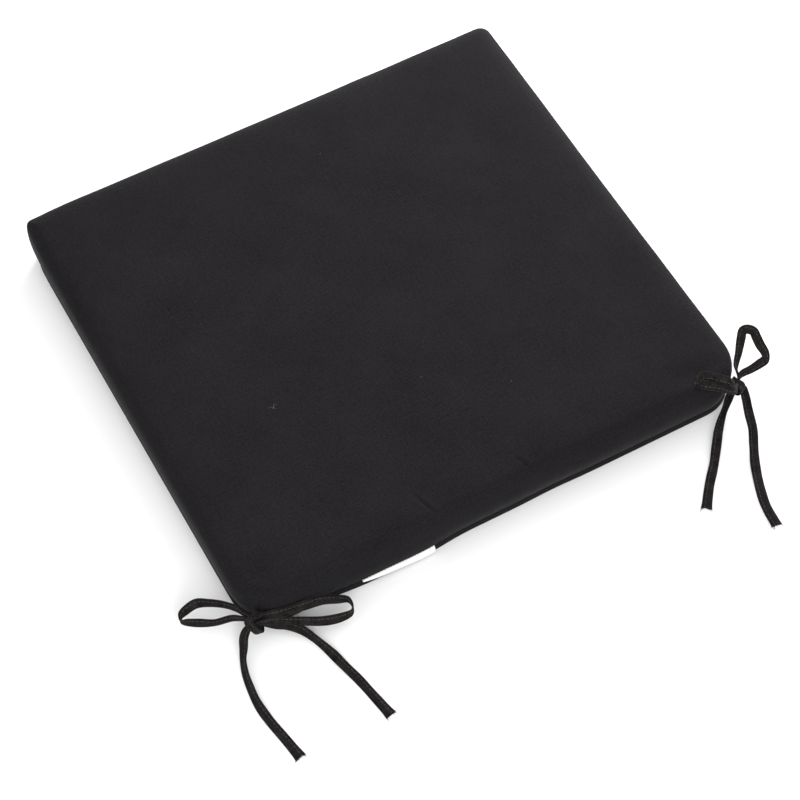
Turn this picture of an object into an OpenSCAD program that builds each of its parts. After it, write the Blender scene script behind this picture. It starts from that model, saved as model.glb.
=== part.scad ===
// Chair seat pad: a box-shaped sewn cover over a wadded foam slab, with a pair of
// strap ties knotted in a bow at each rear corner and a care label in the rear seam.
// Millimetres, +Z up. The origin is under the middle of the pad, on the surface it lies on.
// +X runs along the rear edge from the left bow to the right bow, and +Y points to the front.

/* [Pad] */
// Width of the pad, along its rear edge
pad_w = 508; // [480:1:520]
// Depth of the pad, from rear edge to front edge
pad_d = 483; // [480:1:520]
// Thickness of the pad
pad_h = 50; // [48:1:60]
// Corner radius in plan at the two front corners
front_corner_r = 15; // [14:1:24]
// Corner radius in plan at the two rear corners, which the ties draw in
rear_corner_r = 36; // [30:1:36]
// Rounding of the top edge
top_edge_r = 13; // [6:0.5:13]
// Rounding of the bottom edge
bottom_edge_r = 4; // [3:0.5:6]

/* [Cover] */
// Thickness of the cover cloth
cloth_t = 0.8; // [0.6:0.1:1]
// Height of the seam that joins the top and bottom panels
seam_z = 8.5; // [8.5:0.5:12]
// Thickness of the seam thread
thread_d = 0.6; // [0.4:0.1:0.8]

/* [Filling] */
// Thickness of each sheet of wadding
wadding_t = 5; // [3:0.5:6]
// Clearance between one layer and the next
layer_gap = 0.3; // [0.2:0.1:0.5]
// Slack of the cover round the filling, above it and at its sides
cover_slack = 1.8; // [0:0.2:2]

/* [Ties] */
// Width of each strap
strap_w = 8.8; // [7:0.2:9]
// Thickness of each folded strap
strap_t = 1.8; // [1:0.2:1.8]
// Radius of the bar tack that holds a pair of ties
tack_r = 1.5; // [1:0.1:1.5]
// Height of the bar tack
tack_h = 10; // [6:1:12]

/* [Label] */
// Length of the care label, along the rear seam
label_w = 73; // [40:1:90]
// Drop of the care label below the seam
label_drop = 8; // [5:0.5:8]
// Thickness of the care label
label_t = 0.4; // [0.3:0.1:0.6]
// Distance of the label's middle to the left of the pad's middle
label_offset = 109; // [60:1:140]
// Slant of the hanging label away from the pad
label_slant = 12; // [5:1:40]

/* [Hidden] */
$fn = 64;

cloth_colour = [0.165, 0.160, 0.170];
strap_colour = [0.150, 0.145, 0.150];
foam_colour = [0.93, 0.90, 0.78];
wadding_colour = [0.95, 0.95, 0.94];
label_colour = [0.93, 0.93, 0.91];
thread_colour = [0.32, 0.31, 0.32];

arc_steps = 6;
split_z = pad_h / 2;

// Half of the gap that the seam leaves between the two panels, and the label's clearance
// from the rear wall
seam_half = thread_d / 2 + 0.1;
label_out = 0.5;

// Lengths of the straight walls between the corners
rear_run = pad_w - 2 * rear_corner_r;
function side_run(front_r) = pad_d - front_r - rear_corner_r;
function front_run(front_r) = pad_w - 2 * front_r;
// The filling's front corners are cut as round as its rear ones
filling_r = rear_corner_r;
wadding_in = cloth_t + layer_gap + cover_slack;
foam_in = wadding_in + wadding_t + layer_gap;

// The bar tacks stand on the walls of the rear corners, 49 degrees round from the side walls
tack_turn = 49;
tack_out = rear_corner_r + tack_r + 0.1;
tack_x = pad_w / 2 - rear_corner_r + tack_out * cos(tack_turn);
tack_y = rear_corner_r - pad_d / 2 - tack_out * sin(tack_turn);
left_tack_z = 30;
right_tack_z = 36;

// Each route point is x, y, z and then the way the strap's width points there.
// Each tie starts at its tack, and ends at its cut end on the surface below.
// Left tie a: left loop, back through the knot, right tail
left_route_a = [
    [-242, -238, 27,  0, 0, 1],
    [-244, -241, 25,  0, 0, 1],
    [-248, -240, 24,  0, 0, 1],
    [-254, -233, 25,  0, 0, 1],
    [-259, -224, 26,  0, 0.3, 1],
    [-266, -216, 26,  0, 0.4, 1],
    [-277, -207, 25,  0.1, 0.5, 0.9],
    [-287, -201, 23,  0.1, 0.8, 0.7],
    [-297, -201, 20,  0, 0.7, 0.8],
    [-303, -203, 18,  -0.1, 0.3, 0.9],
    [-305, -207, 17,  -0.1, 0, 1],
    [-299, -211, 16,  0, 0.4, 0.9],
    [-291, -216, 16,  0, 0.6, 0.9],
    [-279, -223, 17,  0, 0.3, 1],
    [-265, -228, 20,  0, 0.2, 1],
    [-257, -234, 22,  0, 0, 1],
    [-249, -239, 20,  0, 0, 1],
    [-241, -243, 16,  0, 0.4, 0.8],
    [-233, -248, 13,  0.1, 0.7, 0.7],
    [-224, -253, 11,  0.2, 0.7, 0.7],
    [-215, -261, 8,  0.5, 0.5, 0.7],
    [-208, -274, 6,  0.6, -0.1, 0.8],
    [-202, -290, 4,  0.8, 0.1, 0.6],
    [-197, -308, 2,  1, 0.4, 0.1],
    [-192, -326, 1,  1, 0.3, 0],
    [-188, -347, 1,  1, 0.3, 0],
    [-184, -368, 1,  1, 0.3, 0]
];
// Left tie b: turn around the knot, right loop, back through the knot, left tail
left_route_b = [
    [-244, -238, 27,  0.85, -0.5, 0],
    [-250, -239, 29,  0.8, -0.4, 0.4],
    [-256, -243, 30,  0.8, -0.4, 0.4],
    [-253, -249, 22,  0.75, -0.4, 0.5],
    [-249, -249, 14,  0.75, -0.4, 0.5],
    [-245, -240, 14,  0.8, -0.4, 0.4],
    [-243, -238, 21,  0.8, -0.3, 0.5],
    [-240, -242, 25,  0.4, 0.2, 0.9],
    [-234, -245, 27,  0.2, 0.6, 0.7],
    [-224, -248, 28,  0.2, 0.8, 0.6],
    [-206, -251, 28,  0.2, 0.8, 0.5],
    [-189, -253, 26,  0.2, 0.8, 0.5],
    [-177, -257, 23,  0.2, 0.6, 0.8],
    [-168, -261, 20,  0.1, 0.2, 1],
    [-167, -267, 18,  0, 0, 1],
    [-170, -271, 16,  0, 0.2, 1],
    [-179, -271, 15,  0, 0.6, 0.8],
    [-194, -267, 15,  0, 0.8, 0.6],
    [-212, -258, 16,  0, 0.7, 0.8],
    [-228, -250, 19,  0, 0.4, 1],
    [-239, -246, 21,  0, 0.1, 1],
    [-249, -243, 20,  0.2, -0.1, 1],
    [-257, -242, 17,  0.8, -0.4, 0.5],
    [-263, -246, 14,  0.9, -0.4, 0.3],
    [-268, -255, 11,  0.9, -0.1, 0.5],
    [-273, -264, 9,  0.7, 0.2, 0.7],
    [-277, -276, 7,  0.7, 0.2, 0.7],
    [-279, -289, 6,  0.8, 0.2, 0.7],
    [-280, -304, 4,  0.8, 0.2, 0.6],
    [-278, -322, 2,  1, 0.2, 0.1],
    [-274, -343, 1,  1, 0.2, 0],
    [-270, -366, 1,  1, 0.2, 0]
];
// Right tie a: turn around the knot, loop over the pad's edge, right tail
right_route_a = [
    [242, -238, 38,  0.9, 0.4, 0],
    [244, -242, 37,  0.9, 0.4, 0],
    [247, -247, 36,  0.9, 0.4, 0],
    [248, -249, 30,  0.9, 0.4, 0],
    [247, -247, 24,  0.9, 0.4, 0],
    [243, -241, 25,  0.9, 0.4, 0],
    [240, -242, 32,  0.9, 0.4, 0.4],
    [237, -247, 43,  0.5, 0.5, 0.7],
    [232, -246, 52,  0.2, 0.7, 0.7],
    [226, -242, 55,  0, 0.8, 0.6],
    [218, -235, 56,  0, 0.8, 0.6],
    [212, -232, 56,  0.2, 0.8, 0.6],
    [207, -234, 55,  0.6, 0.5, 0.6],
    [209, -239, 55,  0.2, 0.7, 0.6],
    [215, -243, 54,  0, 0.8, 0.6],
    [223, -248, 52,  0, 0.8, 0.6],
    [232, -252, 46,  0, 0.6, 0.7],
    [240, -249, 38,  0, 0.4, 0.8],
    [246, -244, 31,  0, 0, 1],
    [251, -246, 26,  0.4, 0, 1],
    [250, -253, 21,  0.8, 0, 0.6],
    [246, -265, 16,  0.9, -0.2, 0.6],
    [242, -279, 10,  0.9, -0.4, 0.5],
    [235, -292, 6,  0.9, -0.4, 0.3],
    [226, -309, 3,  1, -0.5, 0.1],
    [216, -333, 2,  1, -0.3, 0.2],
    [210, -352, 3,  1, -0.1, 0.4],
    [208, -372, 1.5,  1, 0.2, 0]
];
// Right tie b: standing loop, back through the knot, left tail
right_route_b = [
    [240, -239, 34,  0, 0, 1],
    [245, -243, 32,  0, 0, 1],
    [250, -238, 35,  0, 0, 1],
    [253, -228, 37,  -0.5, 0.1, 0.9],
    [263, -217, 41,  -0.8, 0.3, 0.6],
    [272, -207, 45,  -0.9, 0.4, 0.2],
    [277, -202, 46,  -0.6, 0.8, 0.4],
    [281, -203, 47,  0.4, 0.8, 0.5],
    [285, -207, 46,  0.9, 0.3, 0.4],
    [284, -213, 46,  0.9, 0.2, 0.4],
    [283, -222, 44,  0.9, -0.1, 0.3],
    [283, -230, 42,  0.8, -0.6, -0.1],
    [280, -236, 41,  0, -0.8, -0.5],
    [272, -237, 39,  -0.1, -0.7, -0.6],
    [264, -237, 37,  0, -0.5, -0.8],
    [254, -236, 34,  0, -0.3, -1],
    [246, -242, 29,  -0.5, 0, -0.8],
    [238, -245, 24,  -0.8, 0.2, -0.6],
    [231, -250, 19,  -0.7, 0.1, -0.7],
    [223, -256, 14,  -0.8, 0, -0.7],
    [214, -265, 9,  -1, 0.4, -0.4],
    [206, -275, 5,  -1, 0.5, -0.2],
    [193, -291, 2,  -1, 0.7, -0.1],
    [179, -306, 1,  -1, 0.7, 0],
    [163, -326, 1,  -1, 0.7, 0]
];

// Cross-section of a strap: a flat bar with its long edges eased, across by through
strap_section = [
    [strap_w / 2, strap_t / 4],
    [strap_w / 2 - strap_t / 4, strap_t / 2],
    [strap_t / 4 - strap_w / 2, strap_t / 2],
    [-strap_w / 2, strap_t / 4],
    [-strap_w / 2, -strap_t / 4],
    [strap_t / 4 - strap_w / 2, -strap_t / 2],
    [strap_w / 2 - strap_t / 4, -strap_t / 2],
    [strap_w / 2, -strap_t / 4]
];

function unit(v) = v / norm(v);
function place(p) = [p[0], p[1], p[2]];
function heading(p) = [p[3], p[4], p[5]];

// Direction of travel at route point i
function travel(route, i) =
    let (before = place(route[max(i - 1, 0)]))
    let (after = place(route[min(i + 1, len(route) - 1)]))
    unit(after - before);

// The strap's outline at route point i
function strap_ring(route, i) =
    let (ahead = travel(route, i))
    let (lean = heading(route[i]))
    let (wide = unit(lean - (lean * ahead) * ahead))
    let (thick = cross(ahead, wide))
    [for (p = strap_section) place(route[i]) + p[0] * wide + p[1] * thick];

// Rounded curve of the top edge, from the middle of the pad outwards, at a depth inside the
// outer surface: x is measured from a corner's centre and y is the height
function top_curve(corner_r, depth) =
    let (r = max(top_edge_r - depth, 1))
    concat(
        [[0, pad_h - depth]],
        [for (i = [0:arc_steps])
            [corner_r - depth - r * (1 - sin(90 * i / arc_steps)),
             pad_h - depth - r * (1 - cos(90 * i / arc_steps))]]
    );

// Height of a layer's underside. The filling rests on the bottom panel, with no slack below it
function rest_z(depth) = depth > cloth_t ? depth - cover_slack : depth;

// Rounded curve of the bottom edge, in the same way
function bottom_curve(corner_r, depth) =
    let (r = max(bottom_edge_r - depth, 1))
    concat(
        [[0, rest_z(depth)]],
        [for (i = [0:arc_steps])
            [corner_r - depth - r * (1 - sin(90 * i / arc_steps)),
             rest_z(depth) + r * (1 - cos(90 * i / arc_steps))]]
    );

function reversed(points) = [for (i = [len(points) - 1:-1:0]) points[i]];

// Section of a layer of the upper half, between two depths and down to height z
function upper_section(corner_r, from, to, z) =
    concat(
        top_curve(corner_r, from),
        [[corner_r - from, z], [corner_r - to, z]],
        reversed(top_curve(corner_r, to))
    );

// Section of a layer of the lower half, between two depths and up to height z
function lower_section(corner_r, from, to, z) =
    concat(
        bottom_curve(corner_r, from),
        [[corner_r - from, z], [corner_r - to, z]],
        reversed(bottom_curve(corner_r, to))
    );

// Section of the slab inside a depth
function slab_section(corner_r, depth) =
    concat(bottom_curve(corner_r, depth), reversed(top_curve(corner_r, depth)));

// Section of the thread, as an octagon in the gap between the two panels
function thread_section(corner_r) =
    [for (a = [22.5:45:360])
        [corner_r - cloth_t / 2 + thread_d / 2 * cos(a), seam_z + thread_d / 2 * sin(a)]];

// A corner of the pad, turned from a section: 0 is front right, and the rest follow round
module corner(turn, section, front_r) {
    r = turn < 2 ? front_r : rear_corner_r;
    x = pad_w / 2 - r;
    y = pad_d / 2 - r;
    translate([turn == 0 || turn == 3 ? x : -x, turn < 2 ? y : -y, 0])
        rotate([0, 0, 90 * turn])
            rotate_extrude(angle = 90)
                polygon(section);
}

// A straight wall of the pad, drawn from a section towards -Y
module wall(length, section) {
    rotate([90, 0, 0])
        linear_extrude(length)
            polygon(section);
}

// All four walls and corners, from the sections at the front and at the rear corners
module walls(front_section, rear_section, front_r) {
    for (turn = [0, 1])
        corner(turn, front_section, front_r);
    for (turn = [2, 3])
        corner(turn, rear_section, front_r);
    for (side = [0, 1])
        mirror([side, 0, 0])
            translate([pad_w / 2 - rear_corner_r, pad_d / 2 - front_r, 0])
                wall(side_run(front_r), rear_section);
    translate([-front_run(front_r) / 2, pad_d / 2 - front_r, 0])
        rotate([0, 0, 90])
            wall(front_run(front_r), front_section);
    translate([rear_run / 2, rear_corner_r - pad_d / 2, 0])
        rotate([0, 0, -90])
            wall(rear_run, rear_section);
}

// The flat field between the walls, from height z and t thick
module field(z, t, front_r) {
    translate([-rear_run / 2, rear_corner_r - pad_d / 2, z])
        cube([rear_run, side_run(front_r), t]);
}

module upper_layer(from, to, z, front_r) {
    walls(upper_section(front_r, from, to, z), upper_section(rear_corner_r, from, to, z), front_r);
    field(pad_h - to, to - from, front_r);
}

module lower_layer(from, to, z, front_r) {
    walls(lower_section(front_r, from, to, z), lower_section(rear_corner_r, from, to, z), front_r);
    field(rest_z(from), to - from, front_r);
}

// A strap swept along its route as one closed skin
module strap(route) {
    sides = len(strap_section);
    rings = len(route);
    points = [for (i = [0:rings - 1]) each strap_ring(route, i)];
    skin = [
        for (i = [0:rings - 2])
            for (j = [0:sides - 1])
                let (a = i * sides + j)
                let (b = i * sides + (j + 1) % sides)
                each [[a, b, b + sides], [a, b + sides, a + sides]]
    ];
    first_cap = [for (j = [sides - 1:-1:0]) j];
    last_cap = [for (j = [0:sides - 1]) (rings - 1) * sides + j];
    color(strap_colour)
        polyhedron(points, concat([first_cap], skin, [last_cap]));
}

// The bar of thread that holds a pair of ties to the wall of its corner
module tack(side, z) {
    color(thread_colour)
        translate([side * tack_x, tack_y, z - tack_h / 2])
            cylinder(r = tack_r, h = tack_h);
}

module top_panel() {
    color(cloth_colour)
        upper_layer(0, cloth_t, seam_z + seam_half, front_corner_r);
}

module bottom_panel() {
    color(cloth_colour)
        lower_layer(0, cloth_t, seam_z - seam_half, front_corner_r);
}

module seam_thread() {
    color(thread_colour)
        walls(thread_section(front_corner_r), thread_section(rear_corner_r), front_corner_r);
}

module top_wadding() {
    color(wadding_colour)
        upper_layer(wadding_in, wadding_in + wadding_t, split_z + layer_gap / 2, filling_r);
}

module foam_core() {
    color(foam_colour) {
        walls(slab_section(filling_r, foam_in), slab_section(rear_corner_r, foam_in), filling_r);
        field(rest_z(foam_in), pad_h - foam_in - rest_z(foam_in), filling_r);
    }
}

module bottom_wadding() {
    color(wadding_colour)
        lower_layer(wadding_in, wadding_in + wadding_t, split_z - layer_gap / 2, filling_r);
}

// The label hangs from the seam, leaning a little away from the pad
module care_label() {
    color(label_colour)
        translate([-label_offset, -pad_d / 2 - label_out, seam_z])
            rotate([-label_slant, 0, 0])
                translate([-label_w / 2, -label_t, -label_drop])
                    cube([label_w, label_t, label_drop]);
}

module left_tack() {
    tack(-1, left_tack_z);
}

module left_tie_a() {
    strap(left_route_a);
}

module left_tie_b() {
    strap(left_route_b);
}

module right_tack() {
    tack(1, right_tack_z);
}

module right_tie_a() {
    strap(right_route_a);
}

module right_tie_b() {
    strap(right_route_b);
}

top_panel();
bottom_panel();
seam_thread();
top_wadding();
foam_core();
bottom_wadding();
care_label();
left_tack();
left_tie_a();
left_tie_b();
right_tack();
right_tie_a();
right_tie_b();
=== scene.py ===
"""Chair seat pad: the cover, ties, label, stitching and materials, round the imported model."""
import math

import bpy
import numpy as np
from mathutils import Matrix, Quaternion, Vector, noise


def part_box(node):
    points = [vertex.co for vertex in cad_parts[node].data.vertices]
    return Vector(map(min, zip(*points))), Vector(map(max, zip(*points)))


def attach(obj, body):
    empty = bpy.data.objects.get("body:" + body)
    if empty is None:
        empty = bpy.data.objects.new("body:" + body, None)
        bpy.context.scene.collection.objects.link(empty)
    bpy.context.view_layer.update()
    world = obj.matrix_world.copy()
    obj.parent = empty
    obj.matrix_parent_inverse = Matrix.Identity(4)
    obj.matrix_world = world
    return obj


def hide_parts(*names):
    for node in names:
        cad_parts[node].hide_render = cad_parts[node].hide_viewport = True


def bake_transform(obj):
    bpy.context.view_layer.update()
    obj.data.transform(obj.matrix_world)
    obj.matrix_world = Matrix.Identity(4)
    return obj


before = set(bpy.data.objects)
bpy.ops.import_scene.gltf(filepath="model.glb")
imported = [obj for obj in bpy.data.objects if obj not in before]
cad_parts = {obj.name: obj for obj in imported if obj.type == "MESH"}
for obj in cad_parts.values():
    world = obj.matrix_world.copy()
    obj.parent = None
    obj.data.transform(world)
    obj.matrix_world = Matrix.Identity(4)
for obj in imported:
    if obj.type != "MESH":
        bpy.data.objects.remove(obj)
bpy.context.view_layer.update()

MM = 0.001

# The pad's own sizes, from the frame
top_low, top_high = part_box("top_panel")
under_low, under_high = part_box("bottom_panel")
HALF_W, HALF_D, PAD_H = top_high.x, top_high.y, top_high.z
SEAM_TOP, SEAM_BOTTOM = top_low.z, under_high.z
SEAM_Z = (SEAM_TOP + SEAM_BOTTOM) / 2

# Its roundings. The corners are in the order front right, front left, rear left, rear right, and the
# front ones are drawn in towards the floor
TOP_CORNER_R = (8 * MM, 2 * MM, 38 * MM, 36 * MM)
LOW_CORNER_R = (22 * MM, 30 * MM, 38 * MM, 36 * MM)
TOP_EDGE_R = 9 * MM
BOTTOM_EDGE_R = 2 * MM
# How much wider the rounding is along the front and the right, than along the left and the rear
WIDER_EDGE = 1.6

# How far the filling pushes out the walls above and below the seam
TOP_SWELL = 3.3 * MM
UNDER_SWELL = 1.2 * MM

# Steps of the cover's mesh: along the width, along the depth and round each corner
WIDTH_STEPS = 84
DEPTH_STEPS = 80
ARC_STEPS = 8
SIDE_STEPS = (WIDTH_STEPS, DEPTH_STEPS, WIDTH_STEPS, DEPTH_STEPS)

# The straps. Their stitches run in a line that is so far across, from 0 in the middle to 1 at the edge
STRAP_W = 8.8 * MM
STRAP_T = 1.8 * MM
STITCH_LINE = 0.34
STITCH_PITCH = 2.0 * MM

# The label's flat height, and the most of it that can show
LABEL_FLAT = 10 * MM
LABEL_DROP = 8 * MM

# The way out of the wall at a tack on the right, in plan
TACK_WAY = (0.656, -0.755)

# Routes of the ties, as in the design: x, y, z and the way the strap's width points
LEFT_ROUTE_A = [
    (-0.242, -0.238, 0.027, 0, 0, 1),
    (-0.244, -0.241, 0.025, 0, 0, 1),
    (-0.248, -0.240, 0.024, 0, 0, 1),
    (-0.254, -0.233, 0.025, 0, 0, 1),
    (-0.259, -0.224, 0.026, 0, 0.3, 1),
    (-0.266, -0.216, 0.026, 0, 0.4, 1),
    (-0.277, -0.207, 0.025, 0.1, 0.5, 0.9),
    (-0.287, -0.201, 0.023, 0.1, 0.8, 0.7),
    (-0.297, -0.201, 0.020, 0, 0.7, 0.8),
    (-0.303, -0.203, 0.018, -0.1, 0.3, 0.9),
    (-0.305, -0.207, 0.017, -0.1, 0, 1),
    (-0.299, -0.211, 0.016, 0, 0.4, 0.9),
    (-0.291, -0.216, 0.016, 0, 0.6, 0.9),
    (-0.279, -0.223, 0.017, 0, 0.3, 1),
    (-0.265, -0.228, 0.020, 0, 0.2, 1),
    (-0.257, -0.234, 0.022, 0, 0, 1),
    (-0.249, -0.239, 0.020, 0, 0, 1),
    (-0.241, -0.243, 0.016, 0, 0.4, 0.8),
    (-0.233, -0.248, 0.013, 0.1, 0.7, 0.7),
    (-0.224, -0.253, 0.011, 0.2, 0.7, 0.7),
    (-0.215, -0.261, 0.008, 0.5, 0.5, 0.7),
    (-0.208, -0.274, 0.006, 0.6, -0.1, 0.8),
    (-0.202, -0.290, 0.004, 0.8, 0.1, 0.6),
    (-0.197, -0.308, 0.002, 1, 0.4, 0.1),
    (-0.192, -0.326, 0.001, 1, 0.3, 0),
    (-0.188, -0.347, 0.001, 1, 0.3, 0),
    (-0.184, -0.368, 0.001, 1, 0.3, 0),
]
LEFT_ROUTE_B = [
    (-0.244, -0.238, 0.027, 0.85, -0.5, 0),
    (-0.250, -0.239, 0.029, 0.8, -0.4, 0.4),
    (-0.256, -0.243, 0.030, 0.8, -0.4, 0.4),
    (-0.253, -0.249, 0.022, 0.75, -0.4, 0.5),
    (-0.249, -0.249, 0.014, 0.75, -0.4, 0.5),
    (-0.245, -0.240, 0.014, 0.8, -0.4, 0.4),
    (-0.243, -0.238, 0.021, 0.8, -0.3, 0.5),
    (-0.240, -0.242, 0.025, 0.4, 0.2, 0.9),
    (-0.234, -0.245, 0.027, 0.2, 0.6, 0.7),
    (-0.224, -0.248, 0.028, 0.2, 0.8, 0.6),
    (-0.206, -0.251, 0.028, 0.2, 0.8, 0.5),
    (-0.189, -0.253, 0.026, 0.2, 0.8, 0.5),
    (-0.177, -0.257, 0.023, 0.2, 0.6, 0.8),
    (-0.168, -0.261, 0.020, 0.1, 0.2, 1),
    (-0.167, -0.267, 0.018, 0, 0, 1),
    (-0.170, -0.271, 0.016, 0, 0.2, 1),
    (-0.179, -0.271, 0.015, 0, 0.6, 0.8),
    (-0.194, -0.267, 0.015, 0, 0.8, 0.6),
    (-0.212, -0.258, 0.016, 0, 0.7, 0.8),
    (-0.228, -0.250, 0.019, 0, 0.4, 1),
    (-0.239, -0.246, 0.021, 0, 0.1, 1),
    (-0.249, -0.243, 0.020, 0.2, -0.1, 1),
    (-0.257, -0.242, 0.017, 0.8, -0.4, 0.5),
    (-0.263, -0.246, 0.014, 0.9, -0.4, 0.3),
    (-0.268, -0.255, 0.011, 0.9, -0.1, 0.5),
    (-0.273, -0.264, 0.009, 0.7, 0.2, 0.7),
    (-0.277, -0.276, 0.007, 0.7, 0.2, 0.7),
    (-0.279, -0.289, 0.006, 0.8, 0.2, 0.7),
    (-0.280, -0.304, 0.004, 0.8, 0.2, 0.6),
    (-0.278, -0.322, 0.002, 1, 0.2, 0.1),
    (-0.274, -0.343, 0.001, 1, 0.2, 0),
    (-0.270, -0.366, 0.001, 1, 0.2, 0),
]
RIGHT_ROUTE_A = [
    (0.242, -0.238, 0.038, 0.9, 0.4, 0),
    (0.244, -0.242, 0.037, 0.9, 0.4, 0),
    (0.247, -0.247, 0.036, 0.9, 0.4, 0),
    (0.248, -0.249, 0.030, 0.9, 0.4, 0),
    (0.247, -0.247, 0.024, 0.9, 0.4, 0),
    (0.243, -0.241, 0.025, 0.9, 0.4, 0),
    (0.240, -0.242, 0.032, 0.9, 0.4, 0.4),
    (0.237, -0.247, 0.043, 0.5, 0.5, 0.7),
    (0.232, -0.246, 0.052, 0.2, 0.7, 0.7),
    (0.226, -0.242, 0.055, 0, 0.8, 0.6),
    (0.218, -0.235, 0.056, 0, 0.8, 0.6),
    (0.212, -0.232, 0.056, 0.2, 0.8, 0.6),
    (0.207, -0.234, 0.055, 0.6, 0.5, 0.6),
    (0.209, -0.239, 0.055, 0.2, 0.7, 0.6),
    (0.215, -0.243, 0.054, 0, 0.8, 0.6),
    (0.223, -0.248, 0.052, 0, 0.8, 0.6),
    (0.232, -0.252, 0.046, 0, 0.6, 0.7),
    (0.240, -0.249, 0.038, 0, 0.4, 0.8),
    (0.246, -0.244, 0.031, 0, 0, 1),
    (0.251, -0.246, 0.026, 0.4, 0, 1),
    (0.250, -0.253, 0.021, 0.8, 0, 0.6),
    (0.246, -0.265, 0.016, 0.9, -0.2, 0.6),
    (0.242, -0.279, 0.010, 0.9, -0.4, 0.5),
    (0.235, -0.292, 0.006, 0.9, -0.4, 0.3),
    (0.226, -0.309, 0.003, 1, -0.5, 0.1),
    (0.216, -0.333, 0.002, 1, -0.3, 0.2),
    (0.210, -0.352, 0.003, 1, -0.1, 0.4),
    (0.208, -0.372, 0.002, 1, 0.2, 0),
]
RIGHT_ROUTE_B = [
    (0.240, -0.239, 0.034, 0, 0, 1),
    (0.245, -0.243, 0.032, 0, 0, 1),
    (0.250, -0.238, 0.035, 0, 0, 1),
    (0.253, -0.228, 0.037, -0.5, 0.1, 0.9),
    (0.263, -0.217, 0.041, -0.8, 0.3, 0.6),
    (0.272, -0.207, 0.045, -0.9, 0.4, 0.2),
    (0.277, -0.202, 0.046, -0.6, 0.8, 0.4),
    (0.281, -0.203, 0.047, 0.4, 0.8, 0.5),
    (0.285, -0.207, 0.046, 0.9, 0.3, 0.4),
    (0.284, -0.213, 0.046, 0.9, 0.2, 0.4),
    (0.283, -0.222, 0.044, 0.9, -0.1, 0.3),
    (0.283, -0.230, 0.042, 0.8, -0.6, -0.1),
    (0.280, -0.236, 0.041, 0, -0.8, -0.5),
    (0.272, -0.237, 0.039, -0.1, -0.7, -0.6),
    (0.264, -0.237, 0.037, 0, -0.5, -0.8),
    (0.254, -0.236, 0.034, 0, -0.3, -1),
    (0.246, -0.242, 0.029, -0.5, 0, -0.8),
    (0.238, -0.245, 0.024, -0.8, 0.2, -0.6),
    (0.231, -0.250, 0.019, -0.7, 0.1, -0.7),
    (0.223, -0.256, 0.014, -0.8, 0, -0.7),
    (0.214, -0.265, 0.009, -1, 0.4, -0.4),
    (0.206, -0.275, 0.005, -1, 0.5, -0.2),
    (0.193, -0.291, 0.002, -1, 0.7, -0.1),
    (0.179, -0.306, 0.001, -1, 0.7, 0),
    (0.163, -0.326, 0.001, -1, 0.7, 0),
]


# ---------------------------------------------------------------- camera

def make_camera():
    """The camera, high up behind the pad's rear left corner."""
    target = Vector((-22.7 * MM, -87.9 * MM, 0))
    distance = 2.2583
    azimuth, elevation, roll = math.radians(-27.04), math.radians(56.91), math.radians(-1.79)
    back = Vector((
        math.sin(azimuth) * math.cos(elevation),
        -math.cos(azimuth) * math.cos(elevation),
        math.sin(elevation),
    ))
    data = bpy.data.cameras.new("camera")
    data.sensor_width = 36
    data.lens = 109.03
    data.clip_start, data.clip_end = 0.1, 50
    camera = bpy.data.objects.new("camera", data)
    camera.rotation_mode = "QUATERNION"
    camera.location = target + back * distance
    camera.rotation_quaternion = (-back).to_track_quat("-Z", "Y") @ Quaternion((0, 0, 1), roll)
    bpy.context.scene.collection.objects.link(camera)
    bpy.context.scene.camera = camera


# ---------------------------------------------------------------- materials

class Look:
    """A node material that is built up one node at a time."""

    def __init__(self, name, roughness, specular=0.3, sheen=0.0, sheen_roughness=0.5):
        self.material = bpy.data.materials.new(name)
        self.material.use_nodes = True
        self.nodes = self.material.node_tree.nodes
        self.shader = self.nodes["Principled BSDF"]
        self.set(self.shader, "Roughness", roughness)
        self.set(self.shader, "Specular IOR Level", specular)
        self.set(self.shader, "Sheen Weight", sheen)
        self.set(self.shader, "Sheen Roughness", sheen_roughness)

    @staticmethod
    def set(node, socket, value):
        node.inputs[socket].default_value = value

    def add(self, kind, **sockets):
        """A new node; a socket takes a value, or another node's output."""
        node = self.nodes.new("ShaderNode" + kind)
        for name, value in sockets.items():
            socket = node.inputs[int(name[1:])] if name[1:].isdigit() else node.inputs[name.replace("_", " ")]
            if isinstance(value, bpy.types.NodeSocket):
                self.material.node_tree.links.new(value, socket)
            else:
                socket.default_value = value
        return node

    def math(self, operation, a, b):
        node = self.add("Math", s0=a, s1=b)
        node.operation = operation
        return node.outputs[0]

    def noise(self, vector, scale, detail=2.0, roughness=0.5):
        node = self.add("TexNoise", Vector=vector, Scale=scale, Detail=detail, Roughness=roughness)
        return node.outputs["Fac"]

    def stretched(self, vector, scale):
        return self.add("Mapping", Vector=vector, Scale=scale).outputs[0]

    def bands(self, vector, direction, period):
        """Smooth threads across a direction, one every period."""
        node = self.add("TexWave", Vector=vector, Scale=math.pi / 10 / period)
        node.wave_type = "BANDS"
        node.bands_direction = direction
        node.wave_profile = "SIN"
        return node.outputs["Fac"]

    def colour(self, factor, dark, light, spread=0.18):
        ramp = self.add("ValToRGB", Fac=factor).color_ramp
        ramp.elements[0].color = (*dark, 1)
        ramp.elements[1].color = (*light, 1)
        ramp.elements[0].position, ramp.elements[1].position = 0.5 - spread, 0.5 + spread
        node = self.nodes[-1]
        self.material.node_tree.links.new(node.outputs["Color"], self.shader.inputs["Base Color"])

    def bump(self, height, strength, distance):
        node = self.add("Bump", Height=height, Strength=strength, Distance=distance)
        self.material.node_tree.links.new(node.outputs["Normal"], self.shader.inputs["Normal"])


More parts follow.
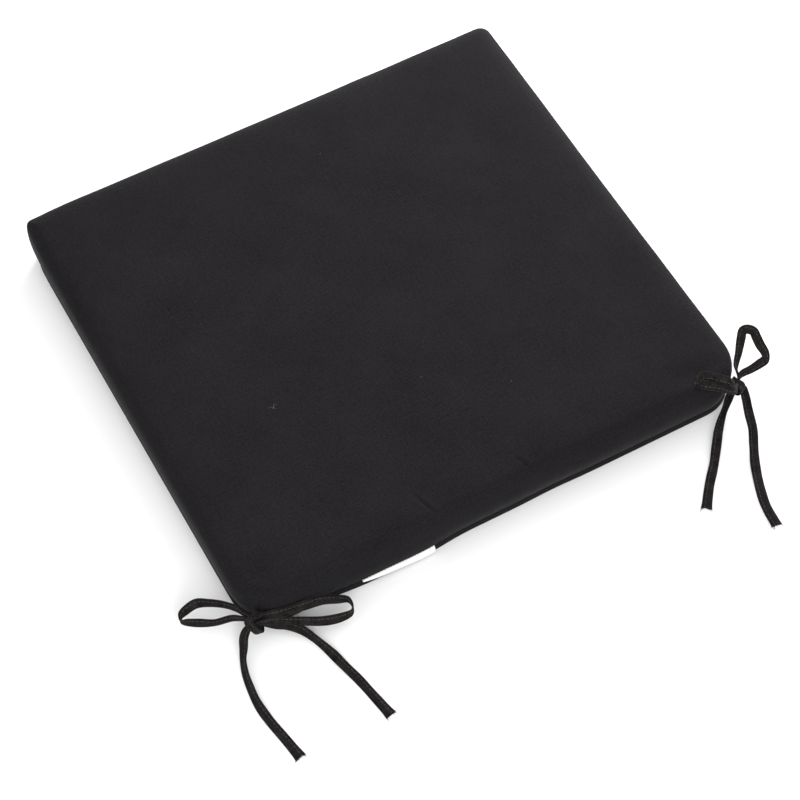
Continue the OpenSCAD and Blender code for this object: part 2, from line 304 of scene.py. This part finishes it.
def woven_cloth(name, dark, light, period, sheen, patch_size, patchy, spread):
    """Plain woven cloth on a piece whose UVs are in metres: threads both ways, and their unevenness."""
    look = Look(name, roughness=0.85, specular=0.03, sheen=sheen, sheen_roughness=0.3)
    spot = look.add("UVMap").outputs["UV"]
    warp = look.bands(spot, "X", period)
    weft = look.bands(spot, "Y", period)
    weave = look.math("ADD", look.math("MULTIPLY", warp, 0.5), look.math("MULTIPLY", weft, 0.5))
    warp_slubs = look.noise(look.stretched(spot, (1400, 60, 1)), 1.0)
    weft_slubs = look.noise(look.stretched(spot, (60, 1400, 1)), 1.0)
    slubs = look.math("ADD", look.math("MULTIPLY", warp_slubs, 0.5), look.math("MULTIPLY", weft_slubs, 0.5))
    grain = look.noise(spot, 520, detail=4, roughness=0.7)
    patches = look.noise(spot, 1 / patch_size, detail=3)
    tone = look.math("ADD", look.math("MULTIPLY", slubs, 0.35), look.math("MULTIPLY", grain, 0.65 - patchy))
    tone = look.math("ADD", tone, look.math("MULTIPLY", patches, patchy))
    look.colour(tone, dark, light, spread)
    look.bump(look.math("ADD", look.math("MULTIPLY", weave, 0.6), slubs), 0.35, 0.25 * MM)
    return look.material


def thread_look(name, dark, light, specular=0.4):
    """Twisted sewing thread."""
    look = Look(name, roughness=0.6, specular=specular)
    spot = look.add("TexCoord").outputs["Object"]
    look.colour(look.noise(spot, 1500), dark, light)
    look.bump(look.noise(spot, 3500), 0.3, 0.1 * MM)
    return look.material


def label_look():
    """White woven ribbon with a fine rib along it."""
    look = Look("label_ribbon", roughness=0.55, specular=0.4, sheen=0.1)
    spot = look.add("UVMap").outputs["UV"]
    rib = look.bands(spot, "Y", 0.45 * MM)
    look.colour(look.noise(spot, 700, detail=3), (0.70, 0.70, 0.69), (0.82, 0.82, 0.81))
    look.bump(rib, 0.25, 0.1 * MM)
    return look.material


def foam_look():
    """Open-cell foam: cream, with pores."""
    look = Look("foam", roughness=0.95, specular=0.1)
    spot = look.add("TexCoord").outputs["Object"]
    pores = look.add("TexVoronoi", Vector=spot, Scale=700.0).outputs["Distance"]
    look.colour(look.noise(spot, 30, detail=4), (0.72, 0.66, 0.45), (0.85, 0.80, 0.60))
    look.bump(pores, 0.6, 0.6 * MM)
    return look.material


def wadding_painted_shade_look():
    """Fibre wadding: fluffy, and charcoal as painted shade, so that it shows dark, not pale, through the
    seam.
    """
    look = Look("wadding", roughness=1.0, specular=0.05)
    spot = look.add("TexCoord").outputs["Object"]
    fibres = look.noise(look.stretched(spot, (300, 300, 900)), 1.0, detail=6, roughness=0.7)
    # The charcoal ramp is painted shade for where the wadding shows in the seam.
    look.colour(look.noise(spot, 40, detail=4), (0.010, 0.010, 0.011), (0.022, 0.022, 0.023))
    look.bump(fibres, 0.8, 1.0 * MM)
    return look.material


def floor_look():
    look = Look("white_floor", roughness=0.8, specular=0.2)
    spot = look.add("TexCoord").outputs["Object"]
    look.colour(look.noise(spot, 3), (0.90, 0.90, 0.90), (0.91, 0.91, 0.91))
    return look.material


# ---------------------------------------------------------------- mesh helpers

def mesh_piece(name, points, faces, material, uvs=None):
    """A smooth mesh object. uvs gives one pair per point, in metres."""
    mesh = bpy.data.meshes.new(name)
    mesh.from_pydata([tuple(p) for p in points], [], [tuple(f) for f in faces])
    mesh.shade_smooth()
    if uvs is not None:
        layer = mesh.uv_layers.new(name="cloth")
        corners = np.empty(len(mesh.loops), np.int32)
        mesh.loops.foreach_get("vertex_index", corners)
        layer.data.foreach_set("uv", np.asarray(uvs, float)[corners].ravel())
    mesh.materials.append(material)
    piece = bpy.data.objects.new(name, mesh)
    bpy.context.scene.collection.objects.link(piece)
    return piece


def coordinates(mesh):
    flat = np.empty(len(mesh.vertices) * 3)
    mesh.vertices.foreach_get("co", flat)
    return flat.reshape(-1, 3)


def set_coordinates(mesh, points):
    mesh.vertices.foreach_set("co", np.asarray(points, float).ravel())
    mesh.update()


def unit(vectors):
    vectors = np.asarray(vectors, float)
    return vectors / np.maximum(np.linalg.norm(vectors, axis=-1, keepdims=True), 1e-12)


def finer(piece, times=1):
    """Subdivides the piece, for good."""
    piece.modifiers.new("finer", "SUBSURF").levels = times
    mesh = bpy.data.meshes.new_from_object(piece.evaluated_get(bpy.context.evaluated_depsgraph_get()))
    piece.modifiers.clear()
    piece.data = mesh


def bands_of_faces(rings, count, closed=True):
    """Quads between rings of count points each, numbered one ring after another."""
    faces = []
    for ring in range(rings - 1):
        for i in range(count if closed else count - 1):
            a, b = ring * count + i, ring * count + (i + 1) % count
            faces.append((a, b, b + count, a + count))
    return faces


def tube(line, radius, sides=6):
    """Points and faces of a thin closed tube along a line."""
    line = np.asarray(line, float)
    ahead = unit(np.gradient(line, axis=0))
    across = unit(np.cross(ahead, (0.31, 0.17, 0.93)))
    up = np.cross(ahead, across)
    radii = np.broadcast_to(radius, len(line))
    points = []
    for spot, x, y, r in zip(line, across, up, radii):
        for turn in np.linspace(0, 2 * math.pi, sides, endpoint=False):
            points.append(spot + r * (math.cos(turn) * x + math.sin(turn) * y))
    faces = bands_of_faces(len(line), sides)
    faces.append(tuple(range(sides)))
    faces.append(tuple(reversed(range(len(points) - sides, len(points)))))
    return points, faces


def joined(parts):
    """Points and faces of several parts as one."""
    points, faces = [], []
    for some_points, some_faces in parts:
        start = len(points)
        points += list(some_points)
        faces += [tuple(i + start for i in face) for face in some_faces]
    return points, faces


def dash(middle, ahead, side, up, length, width, height):
    """One stitch: a small rounded dash that lies on a surface."""
    line = [middle + ahead * length * t for t in (-0.5, -0.3, 0, 0.3, 0.5)]
    sizes = (0.35, 0.9, 1, 0.9, 0.35)
    section = ((1, 0), (0.6, 0.9), (-0.6, 0.9), (-1, 0), (0, -0.8))
    points = []
    for spot, size in zip(line, sizes):
        for x, y in section:
            points.append(spot + size * (x * side * width / 2 + y * up * height))
    faces = bands_of_faces(len(line), len(section))
    faces.append(tuple(range(len(section))))
    faces.append(tuple(reversed(range(len(points) - len(section), len(points)))))
    return points, faces


# ---------------------------------------------------------------- ties

def smooth_route(route, step):
    """Places and width directions, about a step apart, on a curve through all the route's points."""
    rows = np.array(route, float)
    rows = np.vstack([2 * rows[0] - rows[1], rows, 2 * rows[-1] - rows[-2]])
    out = []
    for p0, p1, p2, p3 in zip(rows, rows[1:], rows[2:], rows[3:]):
        t1 = math.sqrt(np.linalg.norm(p1[:3] - p0[:3]))
        t2 = t1 + math.sqrt(np.linalg.norm(p2[:3] - p1[:3]))
        t3 = t2 + math.sqrt(np.linalg.norm(p3[:3] - p2[:3]))
        count = max(2, round(np.linalg.norm(p2[:3] - p1[:3]) / step))
        for t in np.linspace(t1, t2, count, endpoint=False):
            a1 = p0 + (p1 - p0) * t / t1
            a2 = p1 + (p2 - p1) * (t - t1) / (t2 - t1)
            a3 = p2 + (p3 - p2) * (t - t2) / (t3 - t2)
            b1 = a1 + (a2 - a1) * t / t2
            b2 = a2 + (a3 - a2) * (t - t1) / (t3 - t1)
            out.append(b1 + (b2 - b1) * (t - t1) / (t2 - t1))
    out.append(rows[-2])
    out = np.array(out)
    return out[:, :3], out[:, 3:]


class Strap:
    """A folded and stitched strap along a route, with its section's axes at every step."""

    def __init__(self, name, route, stitched_side, seed):
        self.name = name
        self.seed = seed
        self.stitched_side = stitched_side
        self.line, lean = smooth_route(route, 1.3 * MM)
        self.ahead = unit(np.gradient(self.line, axis=0))
        self.wide = unit(lean - (lean * self.ahead).sum(1)[:, None] * self.ahead)
        self.thick = np.cross(self.ahead, self.wide)
        steps = np.linalg.norm(np.diff(self.line, axis=0), axis=1)
        self.along = np.concatenate([[0], np.cumsum(steps)])

    def wobble(self, distance, scale, channel):
        return noise.noise(Vector((distance / scale, self.seed * 7.3, channel * 3.1)))

    def half_width(self, i):
        """Half the strap's width: uneven, and spread a little where it was cut."""
        left = self.along[-1] - self.along[i]
        spread = 1 + 0.22 * math.exp(-left / (7 * MM))
        return STRAP_W / 2 * spread * (1 + 0.07 * self.wobble(self.along[i], 16 * MM, 1))

    def surface(self, i, u, face):
        """The point at u across the strap, from -1 to 1, on its upper face, 1, or lower face, -1."""
        flat = max(0.0, 1 - abs(u) ** 4) ** 0.5
        groove = 0.4 * math.exp(-(((u - self.stitched_side * STITCH_LINE) / 0.1) ** 2))
        height = face * STRAP_T / 2 * flat * (1 - groove)
        curl = 0.8 * MM * self.wobble(self.along[i], 30 * MM, 2) * u * u
        return self.line[i] + u * self.half_width(i) * self.wide[i] + (height + curl) * self.thick[i]

    def band(self):
        """Points, faces and UVs of the strap's skin."""
        half = np.array([0.22, 0.34, 0.46, 0.6, 0.8, 0.95, 1])
        across = np.concatenate([-half[::-1], [0], half])
        section = [(u, 1) for u in across] + [(u, -1) for u in across[-2:0:-1]]
        points, uvs = [], []
        for i, distance in enumerate(self.along):
            for u, face in section:
                ragged = 0.0
                if i == len(self.along) - 1:
                    teeth = noise.noise(Vector((u * 3.3, self.seed, 0.5)))
                    ragged = 1.5 * MM * (u * u - 0.5) + 1.2 * MM * teeth
                points.append(self.surface(i, u, face) + ragged * self.ahead[i])
                uvs.append((distance, u * STRAP_W / 2 + (face < 0) * 3 * STRAP_W))
        faces = [tuple(reversed(f)) for f in bands_of_faces(len(self.along), len(section))]
        faces.append(tuple(range(len(section))))
        faces.append(tuple(reversed(range(len(points) - len(section), len(points)))))
        return points, faces, uvs

    def stitches(self):
        """The row of stitches, on both faces."""
        parts = []
        for distance in np.arange(STITCH_PITCH, self.along[-1] - STITCH_PITCH / 2, STITCH_PITCH):
            i = int(np.searchsorted(self.along, distance))
            for face in (1, -1):
                middle = self.surface(i, self.stitched_side * STITCH_LINE, face)
                up = face * self.thick[i]
                parts.append(dash(middle, self.ahead[i], self.wide[i], up, 0.75 * MM, 0.45 * MM, 0.2 * MM))
        return joined(parts)

    def fray(self):
        """Loose yarns at the cut end."""
        rng = np.random.default_rng(self.seed)
        parts = []
        for u in np.linspace(-0.96, 0.96, 15):
            start = self.surface(-1, u, 0) - self.ahead[-1] * 0.8 * MM
            reach = rng.uniform(1.5, 3.5) * (0.6 + abs(u)) * MM
            drift = rng.uniform(-0.5, 0.5, 3) * (1, 1, 0.25)
            end = start + (self.ahead[-1] + 0.35 * u * self.wide[-1] + drift) * reach
            middle = (start + end) / 2 + rng.uniform(-0.3, 0.3, 3) * (1, 1, 0.3) * MM
            steps = np.linspace(0, 1, 5)
            line = np.array([(1 - t) ** 2 * start + 2 * t * (1 - t) * middle + t * t * end for t in steps])
            line[:, 2] = np.maximum(line[:, 2], 0.15 * MM)
            parts.append(tube(line, np.linspace(0.22, 0.08, 5) * MM, sides=4))
        return joined(parts)


def make_tie(node, body, route, stitched_side, seed, cloth, thread):
    """A tie as one strap, with its stitches and frayed end on it."""
    strap = Strap(node, route, stitched_side, seed)
    points, faces, uvs = strap.band()
    tie = mesh_piece(node + "_strap", points, faces, cloth, uvs)
    stitches = mesh_piece(node + "_stitches", *strap.stitches(), thread)
    fray = mesh_piece(node + "_fray", *strap.fray(), cloth)
    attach(tie, body)
    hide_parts(node)
    for piece, slot in ((stitches, "thread"), (fray, "tie")):
        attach(piece, body)


# ---------------------------------------------------------------- cover

def outline(inset, z):
    """Points round the pad at a height, that far in from its walls, and the way out at each.
    They start at the front right corner."""
    signs = ((1, 1), (-1, 1), (-1, -1), (1, -1))
    spots, ways = [], []

    def corner_point(k, angle):
        k = k % 4
        r = LOW_CORNER_R[k] + (TOP_CORNER_R[k] - LOW_CORNER_R[k]) * z / PAD_H
        r = max(r - inset, 1 * MM)
        way = np.array((math.cos(math.radians(angle)), math.sin(math.radians(angle))))
        inset_x, inset_y = (inset * (WIDER_EDGE if sign > 0 and inset > 0 else 1) for sign in signs[k])
        middle = np.array(signs[k]) * (HALF_W - inset_x - r, HALF_D - inset_y - r)
        return middle + r * way, way

    for k in range(4):
        for i in range(ARC_STEPS + 1):
            spot, way = corner_point(k, 90 * (k + i / ARC_STEPS))
            spots.append(spot)
            ways.append(way)
        start, way = corner_point(k, 90 * (k + 1))
        end, _ = corner_point(k + 1, 90 * (k + 1))
        for i in range(1, SIDE_STEPS[k]):
            spots.append(start + (end - start) * i / SIDE_STEPS[k])
            ways.append(way)
    return np.array(spots), np.array(ways)


def side_indexes():
    """Indexes of the outline's points along its front, left, rear and right, each from the middle of
    one corner to the middle of the next."""
    total = sum(SIDE_STEPS) + 4 * ARC_STEPS
    start, sides = ARC_STEPS // 2, []
    for run in SIDE_STEPS:
        sides.append([(start + i) % total for i in range(run + ARC_STEPS + 1)])
        start += run + ARC_STEPS
    return sides


def field_between(ring, first_index, next_index):
    """A grid that fills a ring of the outline: new points, and faces that join them to the ring."""
    front, left, rear, right = side_indexes()
    rear, right = rear[::-1], right[::-1]
    columns, rows = len(front), len(left)
    numbers = np.empty((rows, columns), int)
    numbers[0], numbers[-1] = np.array(front) + first_index, np.array(rear) + first_index
    numbers[:, 0], numbers[:, -1] = np.array(right) + first_index, np.array(left) + first_index
    inner = np.arange((rows - 2) * (columns - 2)) + next_index
    numbers[1:-1, 1:-1] = inner.reshape(rows - 2, columns - 2)
    u = np.linspace(0, 1, columns)[None, :, None]
    v = np.linspace(0, 1, rows)[:, None, None]
    a, b, c, d = (ring[x] for x in (front, rear, right, left))
    patch = (1 - v) * a[None] + v * b[None] + (1 - u) * c[:, None] + u * d[:, None]
    patch -= (1 - u) * (1 - v) * a[0] + u * (1 - v) * a[-1] + (1 - u) * v * b[0] + u * v * b[-1]
    faces = []
    for j in range(rows - 1):
        for i in range(columns - 1):
            faces.append((numbers[j, i], numbers[j, i + 1], numbers[j + 1, i + 1], numbers[j + 1, i]))
    return patch[1:-1, 1:-1].reshape(-1, 3), faces


def panel(name, profile, material, upper):
    """A panel of the cover, from its edge turned in at the seam to its flat field.
    profile lists how far in from the wall each ring is, and its height."""
    rings = []
    for inset, z in profile:
        spots, ways = outline(inset, z)
        rings.append(np.column_stack([spots, np.full(len(spots), z)]))
    steps = np.linalg.norm(np.diff(np.array(profile), axis=0), axis=1)
    to_field = np.concatenate([np.cumsum(steps[::-1])[::-1], [0]])
    uvs = [spots + ways * distance for distance in to_field]
    count = len(spots)
    field, field_faces = field_between(rings[-1], (len(rings) - 1) * count, len(rings) * count)
    points = np.vstack(rings + [field])
    faces = bands_of_faces(len(rings), count) + field_faces
    if not upper:
        faces = [tuple(reversed(f)) for f in faces]
    return mesh_piece(name, points, faces, material, np.vstack(uvs + [field[:, :2]]))


def seam_edge(z, away):
    """Rings of the edge that is turned in at the seam. away is 1 for a panel above it, or -1 below."""
    return [(4 * MM, z), (1.2 * MM, z), (0.3 * MM, z + away * 0.3 * MM), (0, z + away * 1.1 * MM)]


def edge_arc(radius, middle_z, away):
    """Rings round a rounded edge, from the wall to the flat field."""
    turns = np.radians(np.linspace(0, 90, 8))
    return [(radius * (1 - math.cos(t)), middle_z + away * radius * math.sin(t)) for t in turns]


def swollen(profile, swell):
    """The profile with its wall pushed out between its first height and its last."""
    low, high = profile[0][1], profile[-1][1]
    return [(inset - swell * math.sin(math.pi * (z - low) / (high - low)), z) for inset, z in profile]


def inflate(piece, held, pressure, frames, cap):
    """Cloth simulation: air swells the piece, but moves no point further than cap."""
    before = coordinates(piece.data)
    piece.vertex_groups.new(name="held").add(held, 1.0, "REPLACE")
    cloth = piece.modifiers.new("cloth", "CLOTH")
    settings = cloth.settings
    settings.vertex_group_mass = "held"
    settings.use_pressure = True
    settings.uniform_pressure_force = pressure
    settings.effector_weights.gravity = 0
    settings.quality = 6
    settings.bending_stiffness = 0.6
    settings.tension_stiffness = 20
    settings.compression_stiffness = 12
    cloth.point_cache.frame_start, cloth.point_cache.frame_end = 1, frames
    scene = bpy.context.scene
    for number in range(1, frames + 1):
        scene.frame_set(number)
    puffed = piece.evaluated_get(bpy.context.evaluated_depsgraph_get()).to_mesh()
    moved = coordinates(puffed) - before
    piece.modifiers.clear()
    piece.vertex_groups.clear()
    scene.frame_set(1)
    length = np.maximum(np.linalg.norm(moved, axis=1, keepdims=True), 1e-9)
    set_coordinates(piece.data, before + moved / length * cap * np.tanh(length / cap))


def hump(points, middle, size):
    """1 at the middle of a soft oval spot, and 0 well outside it."""
    away = (points[:, :len(middle)] - middle) / size
    return np.exp(-(away ** 2).sum(1))


def uneven(points, scale, seed):
    """Smooth noise at each point, from about -1 to 1."""
    return np.array([noise.noise(Vector(p / scale) + Vector((seed, 0, 0))) for p in points])


def shape_top(piece):
    """What sewing and filling do to the top panel: unevenness, dents, puckers and pulled corners."""
    mesh = piece.data
    points = coordinates(mesh)
    normals = np.array([v.normal for v in mesh.vertices])
    x, y, z = points.T
    on_top = np.clip((z - (PAD_H - TOP_EDGE_R)) / TOP_EDGE_R, 0, 1)
    free = np.clip((z - SEAM_TOP - 0.5 * MM) / (3 * MM), 0, 1)
    move = normals * (0.5 * MM * uneven(points, 90 * MM, 1) * on_top)[:, None]
    move += normals * (0.22 * MM * uneven(points, 30 * MM, 2) * free)[:, None]
    # Puckers just above the seam
    low = free * np.exp(-np.clip(z - SEAM_TOP, 0, None) / (9 * MM))
    along = np.column_stack([x, y, 0 * x])
    move += normals * (0.7 * MM * uneven(along, 9 * MM, 3) * low)[:, None]
    # Two short pleats that the rear edge pulls into the top, and soft dents near them
    for spot_x, spot_y in ((27 * MM, -230 * MM), (-71 * MM, -224 * MM)):
        lean = x - spot_x + 0.35 * (y - spot_y)
        reach = np.exp(-(((y - spot_y) / (9 * MM)) ** 2))
        pleat = np.exp(-((lean / (1.3 * MM)) ** 2)) - 0.35 * np.exp(-(((lean - 3.5 * MM) / (2.2 * MM)) ** 2))
        move[:, 2] -= 1.1 * MM * pleat * reach * on_top
        move[:, 2] -= 0.5 * MM * hump(points, (spot_x, spot_y), (14 * MM, 12 * MM)) * on_top
    # Creases that run up the rear corners from the knots
    for side in (-1, 1):
        middle = (side * (HALF_W - LOW_CORNER_R[2]), LOW_CORNER_R[2] - HALF_D)
        turn = np.degrees(np.arctan2(middle[1] - y, side * (x - middle[0])))
        for at, depth, width in ((50, 1.8, 1.7), (41, 0.6, 3.0), (59, 0.6, 3.0)):
            crease = np.exp(-(((turn - at) / width) ** 2)) * np.clip((52 * MM - z) / (22 * MM), 0, 1)
            move -= normals * (depth * MM * crease * free)[:, None]
    # The hollow beside the right bow's flat loop, and the pull of both knots
    move[:, 2] -= 2.2 * MM * hump(points, (208 * MM, -222 * MM), (22 * MM, 12 * MM)) * on_top
    for side in (-1, 1):
        move[:, 2] -= 1.0 * MM * hump(points, (side * 233 * MM, -222 * MM), (20 * MM, 20 * MM)) * on_top
    set_coordinates(mesh, points + move)


def label_lift(x):
    """How far the label's bulk lifts the rear seam there."""
    return 1.0 * MM * np.exp(-(((x + 128 * MM) / (24 * MM)) ** 2))


def label_bulge(x):
    """How far the rear edge stands out there."""
    return 3.5 * MM * np.exp(-(((x + 112 * MM) / (55 * MM)) ** 4))


def settle(piece):
    """Raises the rear hem a little, swells it at the label, and draws in the front left corner."""
    mesh = piece.data
    points = coordinates(mesh)
    x, y, z = points.T
    rear = np.exp(-(((y + HALF_D) / (22 * MM)) ** 2)) * np.clip(1 - (z - SEAM_Z) / (24 * MM), 0, 1)
    hem = 0.9 * MM * np.exp(-(((x - 52 * MM) / (26 * MM)) ** 2))
    seam = label_lift(x) * np.clip(z / SEAM_BOTTOM, 0, 1)
    points[:, 2] += (hem + seam) * rear
    points[:, 1] += (0.5 * hem - label_bulge(x)) * rear
    drawn = 2.6 * MM * hump(points, (-HALF_W, HALF_D), (28 * MM, 28 * MM))
    points[:, :2] += drawn[:, None] * (0.71, -0.71)
    set_coordinates(mesh, points)


def make_cover(cloth):
    """The top and bottom panels. It gives back the top one."""
    wall = [(0, z) for z in np.linspace(SEAM_TOP + 2.5 * MM, PAD_H - TOP_EDGE_R, 7)[:-1]]
    top_profile = seam_edge(SEAM_TOP, 1) + wall + edge_arc(TOP_EDGE_R, PAD_H - TOP_EDGE_R, 1)
    top = panel("cover_top", swollen(top_profile, TOP_SWELL), cloth, True)
    held = [i for i, v in enumerate(top.data.vertices) if v.co.z < SEAM_TOP + 0.5 * MM]
    inflate(top, held, pressure=0.15, frames=20, cap=2.5 * MM)
    finer(top, 2)
    shape_top(top)
    under_profile = seam_edge(SEAM_BOTTOM, -1) + edge_arc(BOTTOM_EDGE_R, BOTTOM_EDGE_R, -1)
    under = panel("cover_under", swollen(under_profile, UNDER_SWELL), cloth, False)
    finer(under)
    for piece, node in ((top, "top_panel"), (under, "bottom_panel")):
        settle(piece)
        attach(piece, "pad")
        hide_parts(node)
    return top


def make_seam(thread):
    """The thread that closes the seam between the panels, stitch by stitch."""
    spots, ways = outline(0.4 * MM, SEAM_Z)
    loop = np.vstack([spots, spots[:1]])
    outward = np.vstack([ways, ways[:1]])
    along = np.concatenate([[0], np.cumsum(np.linalg.norm(np.diff(loop, axis=0), axis=1))])
    parts = []
    for distance in np.arange(0, along[-1], 3 * MM):
        middle = np.array([np.interp(distance, along, loop[:, k]) for k in (0, 1)])
        way = unit(np.array([np.interp(distance, along, outward[:, k]) for k in (0, 1)]))
        ahead = np.array((-way[1], way[0], 0))
        out = np.array((way[0], way[1], 0))
        parts.append(dash(
            np.array((*middle, SEAM_Z)), ahead, np.array((0, 0, 1.0)), out, 2.4 * MM, 0.6 * MM, 0.3 * MM,
        ))
    seam = mesh_piece("seam_stitches", *joined(parts), thread)
    settle(seam)
    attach(seam, "pad")
    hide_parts("seam_thread")


def make_tack(node, thread):
    """A bar tack: a close zigzag of thread up the corner of the wall."""
    low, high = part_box(node)
    middle = (low + high) / 2
    radius = (high.x - low.x) / 2
    out = unit(np.array((math.copysign(1, middle.x) * TACK_WAY[0], TACK_WAY[1], 0)))
    side = np.array((-out[1], out[0], 0))
    line, passes = [], 24
    for i in range(passes + 1):
        swing = radius * 0.8 * (1 if i % 2 else -1)
        up = low.z + (high.z - low.z) * i / passes
        line.append(np.array((middle.x, middle.y, up)) + side * swing - out * 0.4 * MM)
    tack = mesh_piece(node + "_zigzag", *tube(line, 0.45 * MM), thread)
    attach(tack, "pad")
    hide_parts(node)


def make_label(material):
    """The blank care label: its left part is caught deeper in the seam than its right."""
    low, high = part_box("care_label")
    columns, rows = 38, 6
    hinge_y = high.y
    points, uvs = [], []
    for face in (1, -1):
        for i in range(columns):
            t = i / (columns - 1)
            x = low.x + (high.x - low.x) * t
            shown = LABEL_DROP * (0.88 - 0.75 * math.exp(-t / 0.35))
            hidden = LABEL_FLAT - shown
            ripple = 0.35 * MM * math.sin(9 * t)
            middle_z = SEAM_Z + label_lift(x)
            root_y = hinge_y - label_bulge(x)
            for s in (-hidden, -hidden / 2, 0, shown * 0.15, shown * 0.5, shown):
                if s <= 0:
                    y, z = root_y + 0.3 * MM - s * 0.9, middle_z
                else:
                    y = root_y - 0.4 * MM - 0.2 * s - ripple * s / LABEL_DROP
                    z = middle_z - s * 0.97
                off = face * 0.17 * MM
                points.append((x, y - (off if s > 0 else 0), z + (off if s <= 0 else 0)))
                uvs.append((x, s))
    faces = []
    half = columns * rows
    for start, turned in ((0, False), (half, True)):
        for f in bands_of_faces(columns, rows, closed=False):
            face = tuple(i + start for i in f)
            faces.append(face if turned else tuple(reversed(face)))
    rim = [i * rows for i in range(columns)]
    rim += [(columns - 1) * rows + j for j in range(1, rows)]
    rim += [i * rows + rows - 1 for i in range(columns - 2, -1, -1)]
    rim += list(range(rows - 2, 0, -1))
    for a, b in zip(rim, rim[1:] + rim[:1]):
        faces.append((a, b, b + half, a + half))
    label = mesh_piece("label_ribbon", points, faces, material, uvs)
    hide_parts("care_label")
    root_y = hinge_y - 0.9 * label_bulge(low.x)
    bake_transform(label)


def make_lint(cover, material):
    """A few pale fibres on the top, as a dark cloth picks up."""
    fibres = (
        ((-143, -70), (5, 2)), ((-141, -71), (1, 5)), ((-146, -68), (4, -3)),
        ((30, 170), (2, 1)), ((-10, -106), (1.5, 1)), ((60, -150), (1.5, 1.5)),
    )
    parts = []
    for (x, y), (dx, dy) in fibres:
        start, step = np.array((x, y, 0)) * MM, np.array((dx, dy, 0)) * MM
        bow = np.array((-dy, dx, 0)) * 0.2 * MM
        line = [start + step * t + bow * math.sin(math.pi * t) for t in np.linspace(0, 1, 7)]
        for spot in line:
            spot[2] = surface_height(cover, spot[0], spot[1]) + 0.12 * MM
        parts.append(tube(line, 0.1 * MM, sides=4))
    lint = mesh_piece("lint", *joined(parts), material)
    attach(lint, "pad")


def surface_height(cover, x, y):
    """Height of the cover's top under a point."""
    hit, place, _, _ = cover.ray_cast(Vector((x, y, 1)), Vector((0, 0, -1)))
    return place.z if hit else PAD_H


# ---------------------------------------------------------------- studio

def make_floor(material):
    floor = mesh_piece("floor", [(-4, -4, 0), (4, -4, 0), (4, 4, 0), (-4, 4, 0)], [(0, 1, 2, 3)], material)
    floor.location.z = -0.1 * MM


def make_light(name, place, aim, size, power):
    data = bpy.data.lights.new(name, "AREA")
    data.shape = "SQUARE"
    data.size = size
    data.energy = power
    light = bpy.data.objects.new(name, data)
    light.location = place
    light.rotation_mode = "QUATERNION"
    light.rotation_quaternion = (Vector(aim) - Vector(place)).to_track_quat("-Z", "Y")
    bpy.context.scene.collection.objects.link(light)


def make_studio():
    """A white tent: even light from all round, a soft box behind and a fill in front."""
    world = bpy.data.worlds.new("tent")
    world.use_nodes = True
    background = world.node_tree.nodes["Background"]
    background.inputs["Color"].default_value = (1, 1, 1, 1)
    background.inputs["Strength"].default_value = 1.15
    bpy.context.scene.world = world
    make_light("soft_box", (1.2, 1.15, 0.45), (0.1, 0.1, 0), 0.6, 50)
    make_light("fill", (-0.5, -1.6, 1.3), (0, -0.1, 0), 1.0, 15)
    bpy.context.scene.view_settings.view_transform = "Standard"
    make_floor(floor_look())


# ---------------------------------------------------------------- the pad

make_camera()

tie_cloth = woven_cloth(
    "tie_cloth", (0.0029, 0.0025, 0.0025), (0.0238, 0.0208, 0.0205), 0.5 * MM,
    sheen=0.1, patch_size=8 * MM, patchy=0.3, spread=0.11,
)
# The stitch thread's light grey is partly its own colour and partly painted sheen, as its look has no sheen
# of its own.
stitch_thread = thread_look("stitch_thread", (0.07, 0.07, 0.068), (0.19, 0.19, 0.185))
make_tie("left_tie_a", "left_bow", LEFT_ROUTE_A, 1, 1, tie_cloth, stitch_thread)
make_tie("left_tie_b", "left_bow", LEFT_ROUTE_B, 1, 2, tie_cloth, stitch_thread)
make_tie("right_tie_a", "right_bow", RIGHT_ROUTE_A, -1, 3, tie_cloth, stitch_thread)
make_tie("right_tie_b", "right_bow", RIGHT_ROUTE_B, 1, 4, tie_cloth, stitch_thread)

cover_cloth = woven_cloth(
    "cover_cloth", (0.0041, 0.0037, 0.0041), (0.0194, 0.0178, 0.0198), 0.55 * MM,
    sheen=0.08, patch_size=70 * MM, patchy=0.15, spread=0.18,
)
dark_thread = thread_look("dark_thread", (0.008, 0.008, 0.009), (0.022, 0.022, 0.023), specular=0.05)
cover_top = make_cover(cover_cloth)
make_seam(dark_thread)
make_tack("left_tack", dark_thread)
make_tack("right_tack", dark_thread)
make_label(label_look())
make_lint(cover_top, thread_look("lint_fibre", (0.08, 0.08, 0.08), (0.16, 0.16, 0.16)))

# The wadding's charcoal look is painted shade for the seam.
filling = {"foam_core": foam_look(), "top_wadding": wadding_painted_shade_look()}
filling["bottom_wadding"] = filling["top_wadding"]
for node, look in filling.items():
    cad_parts[node].data.materials.clear()
    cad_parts[node].data.materials.append(look)

make_studio()
